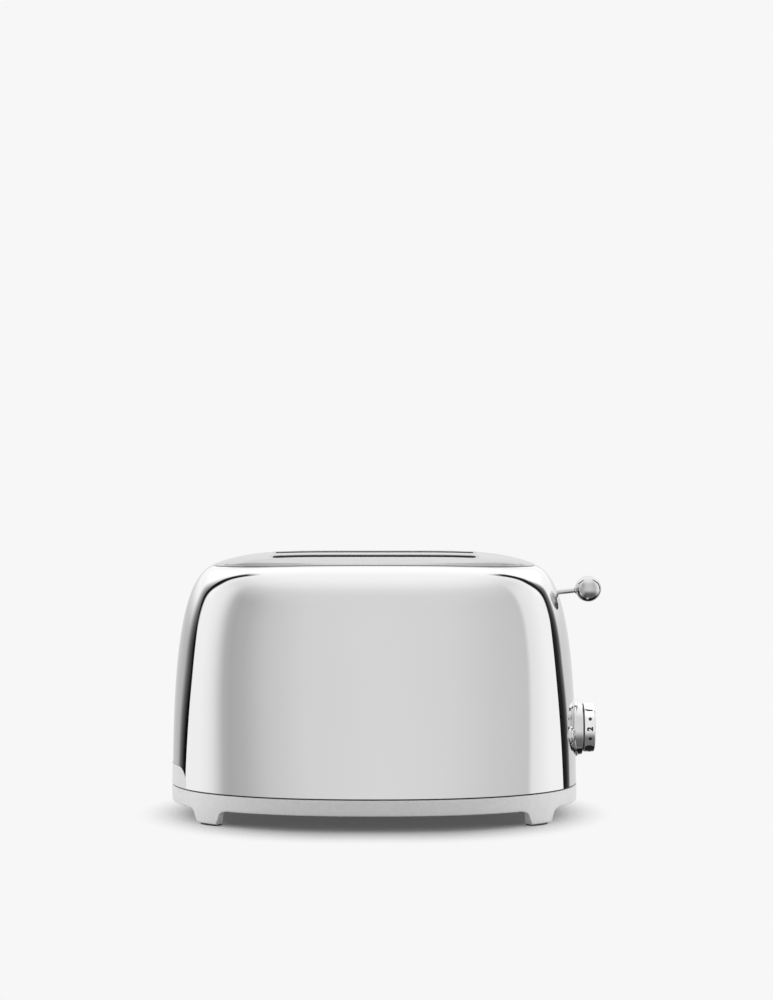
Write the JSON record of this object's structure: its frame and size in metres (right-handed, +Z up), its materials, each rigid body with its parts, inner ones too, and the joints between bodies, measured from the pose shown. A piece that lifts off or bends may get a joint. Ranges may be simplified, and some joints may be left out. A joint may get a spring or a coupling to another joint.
{
  "type": "two-slice toaster",
  "caption": "Rounded chrome toaster with a brushed oval top, long bread slots, a ball-ended lever, a browning dial, push-buttons and a pull-out crumb tray.",
  "frame": {"origin": "bottom centre of the overall box, on the surface that the feet stand on", "axes": "+X along the length towards the lever and dial end, -Y towards the front panel, +Z up"},
  "size_m": [0.3104, 0.1958, 0.1888],
  "materials": {
    "chrome": "mirror-polished pressed steel and plated knobs",
    "brushed_steel": "fine brushing along the length",
    "satin_silver": "satin silver, even and slightly metallic",
    "foot_rubber": "matt dark grey",
    "dark_plastic": "fine-grained black moulding",
    "pale_plastic": "matt off-white moulding",
    "mica": "layered translucent brown sheet",
    "resistance_alloy": "dull oxidised ribbon",
    "circuit_board": "green solder mask",
    "copper_winding": "enamelled winding",
    "sheet_steel": "plain zinc-grey sheet and wire"
  },
  "bodies": {
    "housing": {"base_ring": "satin_silver", "body_shell": "chrome", "button_bezel_front": "chrome", "button_bezel_rear": "chrome", "button_switch_front": "dark_plastic", "button_switch_rear": "dark_plastic", "chassis_plate_left": "sheet_steel", "chassis_plate_right": "sheet_steel", "control_board": "circuit_board", "cord_gland": "dark_plastic", "cover_screw_1": "sheet_steel", "cover_screw_2": "sheet_steel", "cover_screw_3": "sheet_steel", "cover_screw_4": "sheet_steel", "dial_bezel": "chrome", "foot_pad_front_left": "foot_rubber", "foot_pad_front_right": "foot_rubber", "foot_pad_rear_left": "foot_rubber", "foot_pad_rear_right": "foot_rubber", "guide_rod_front": "sheet_steel", "guide_rod_rear": "sheet_steel", "heater_board_inner_front": "mica", "heater_board_inner_rear": "mica", "heater_board_outer_front": "mica", "heater_board_outer_rear": "mica", "heater_ribbon_inner_front": "resistance_alloy", "heater_ribbon_inner_rear": "resistance_alloy", "heater_ribbon_outer_front": "resistance_alloy", "heater_ribbon_outer_rear": "resistance_alloy", "lever_slot_guide": "dark_plastic", "magnet_coil": "copper_winding", "magnet_core": "sheet_steel", "potentiometer": "dark_plastic", "reflector_front": "sheet_steel", "reflector_rear": "sheet_steel", "slot_collar_front": "brushed_steel", "slot_collar_rear": "brushed_steel", "terminal_block": "pale_plastic", "top_plate": "brushed_steel", "tray_rail_front": "sheet_steel", "tray_rail_rear": "sheet_steel", "underside_cover": "sheet_steel"},
    "carriage": {"carriage_bracket": "sheet_steel", "bread_rack_front": "sheet_steel", "bread_rack_rear": "sheet_steel", "latch_plate": "sheet_steel", "lift_spring": "sheet_steel", "lever_arm": "chrome", "lever_ball": "chrome"},
    "dial": {"browning_dial": "chrome", "dial_shaft": "sheet_steel"},
    "button_front_body": {"button_front": "chrome"},
    "button_rear_body": {"button_rear": "chrome"},
    "crumb_drawer": {"crumb_tray": "sheet_steel", "crumb_tray_front": "satin_silver"},
    "guide_front_outer": {"bread_guide_front_outer": "sheet_steel"},
    "guide_front_inner": {"bread_guide_front_inner": "sheet_steel"},
    "guide_rear_inner": {"bread_guide_rear_inner": "sheet_steel"},
    "guide_rear_outer": {"bread_guide_rear_outer": "sheet_steel"}
  },
  "joints": [
    {"name": "carriage_slide", "type": "slide", "parent": "housing", "child": "carriage", "axis": [0, 0, -1], "range_m": [0, 0.064], "stiffness_N_per_m": 60, "springref_m": -0.06, "deforming": ["lift_spring"]},
    {"name": "dial_turn", "type": "hinge", "parent": "housing", "child": "dial", "pos_m": [0.14215, 0, 0.062], "axis": [-1, 0, 0], "range_deg": [0, 270]},
    {"name": "button_front_press", "type": "slide", "parent": "housing", "child": "button_front_body", "axis": [-0.9465, 0.3227, 0], "range_m": [0, 0.002], "stiffness_N_per_m": 300, "springref_m": -0.003},
    {"name": "button_rear_press", "type": "slide", "parent": "housing", "child": "button_rear_body", "axis": [-0.9465, -0.3227, 0], "range_m": [0, 0.002], "stiffness_N_per_m": 300, "springref_m": -0.003},
    {"name": "tray_slide", "type": "slide", "parent": "housing", "child": "crumb_drawer", "axis": [-1, 0, 0], "range_m": [0, 0.205]},
    {"name": "guide_front_outer_slide", "type": "slide", "parent": "housing", "child": "guide_front_outer", "axis": [0, 1, 0], "range_m": [0, 0.008]},
    {"name": "guide_front_inner_slide", "type": "slide", "parent": "housing", "child": "guide_front_inner", "axis": [0, -1, 0], "range_m": [0, 0.008]},
    {"name": "guide_rear_inner_slide", "type": "slide", "parent": "housing", "child": "guide_rear_inner", "axis": [0, 1, 0], "range_m": [0, 0.008]},
    {"name": "guide_rear_outer_slide", "type": "slide", "parent": "housing", "child": "guide_rear_outer", "axis": [0, -1, 0], "range_m": [0, 0.008]}
  ],
  "couplings": [
    {"joint": "guide_front_outer_slide", "follows": "carriage_slide", "ratio": 0.125},
    {"joint": "guide_front_inner_slide", "follows": "carriage_slide", "ratio": 0.125},
    {"joint": "guide_rear_inner_slide", "follows": "carriage_slide", "ratio": 0.125},
    {"joint": "guide_rear_outer_slide", "follows": "carriage_slide", "ratio": 0.125}
  ]
}
